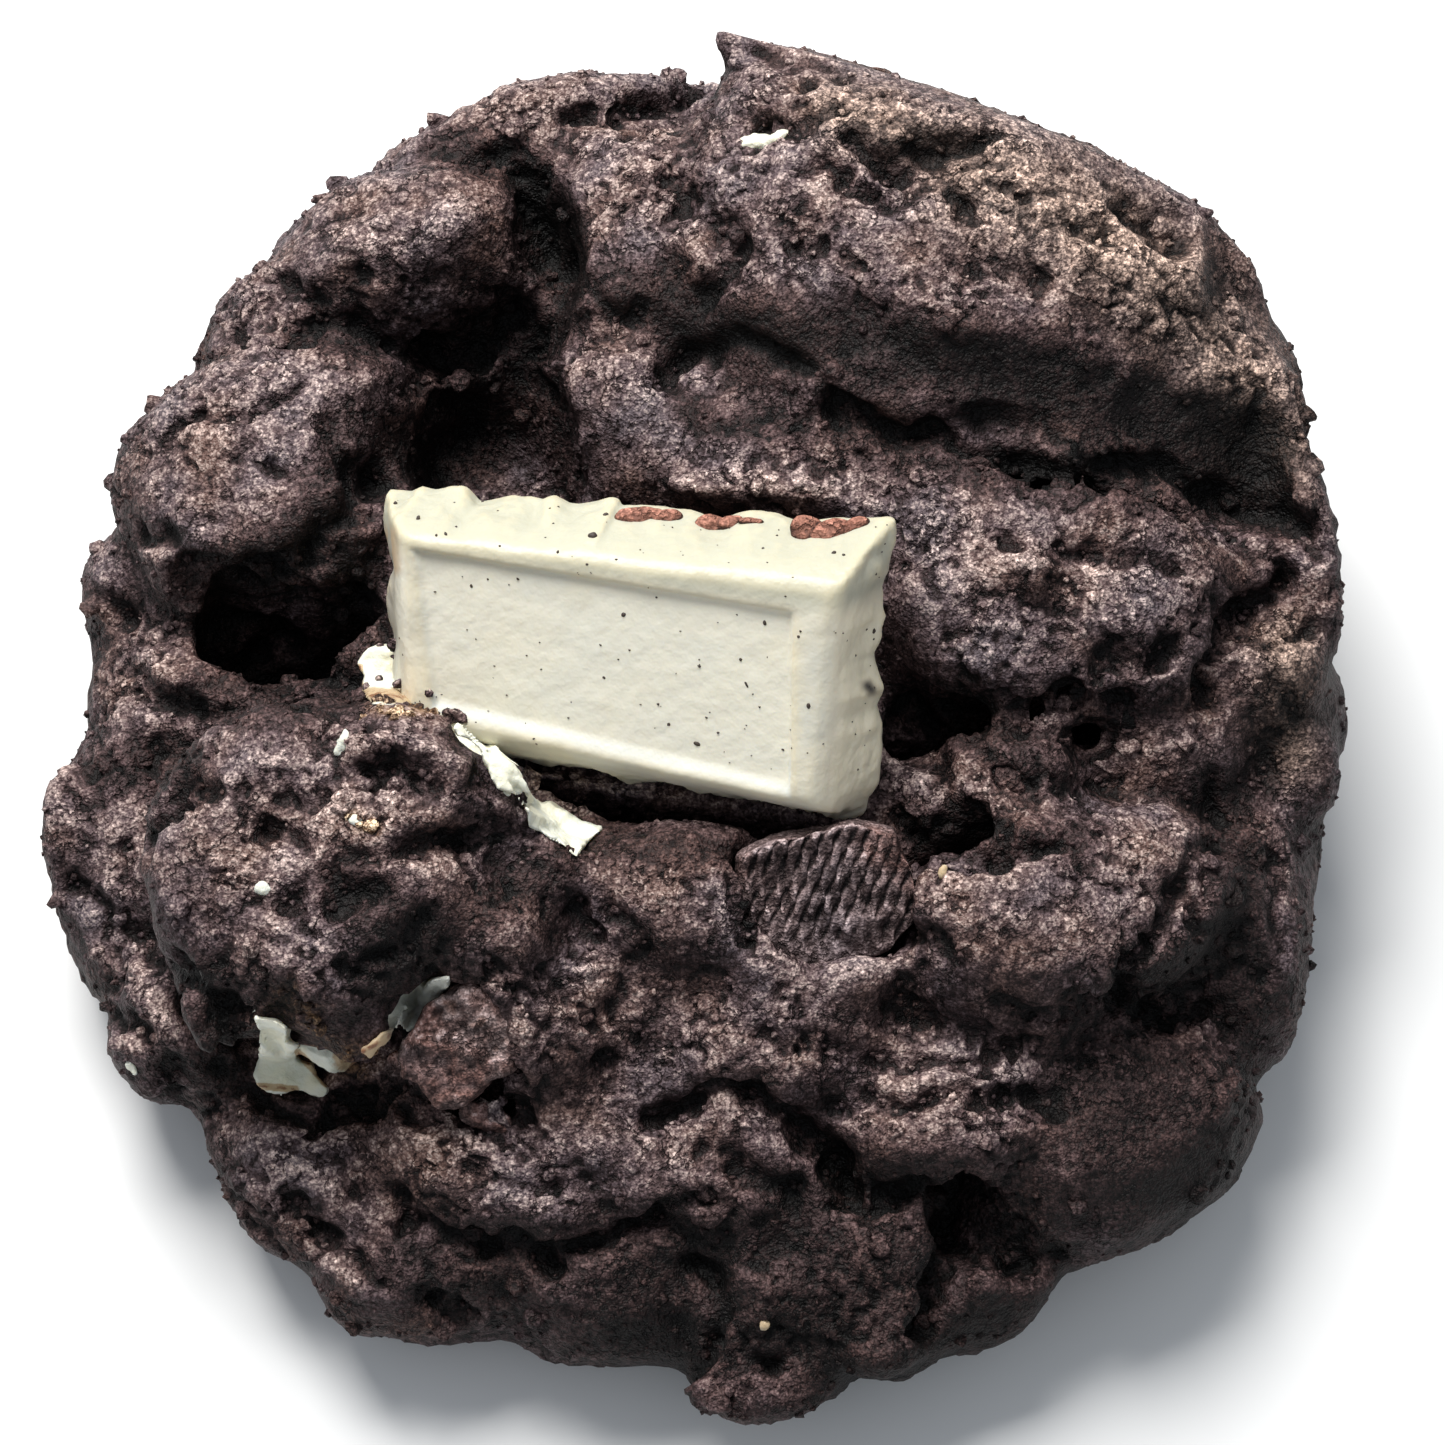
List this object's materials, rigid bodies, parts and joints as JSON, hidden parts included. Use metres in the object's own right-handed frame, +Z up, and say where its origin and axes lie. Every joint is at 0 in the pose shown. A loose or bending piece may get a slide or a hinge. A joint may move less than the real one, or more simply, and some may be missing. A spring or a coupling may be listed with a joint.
{
  "type": "thick chocolate cookie with white chocolate bar pieces",
  "caption": "Thick, craggy dark chocolate cookie with a moulded white chocolate segment pressed into its top, a second piece melted under the dough, and broken wafer bits.",
  "frame": {"origin": "under the middle of the cookie's bounding box, on the surface it rests on", "axes": "+Z up from the flat underside, -Y towards the front edge, which the bar segment's face leans to, +X right"},
  "size_m": [0.0928, 0.098, 0.0366],
  "materials": {
    "dough": "dry, crumbly baked dough of very dark cocoa, matte and granular",
    "white_chocolate": "satin ivory white chocolate with fine dark biscuit specks",
    "melted_white": "once-melted white chocolate, dull, toasted golden brown at its upper tip",
    "dark_wafer": "dry, near-black chocolate wafer with pressed ribs",
    "brown_wafer": "dry, reddish-brown chocolate wafer, open-grained"
  },
  "bodies": {
    "root": {"dough": "dough", "bar_segment": "white_chocolate", "sunken_white_piece": "melted_white", "ridged_wafer": "dark_wafer", "plain_wafer": "brown_wafer"}
  },
  "joints": []
}
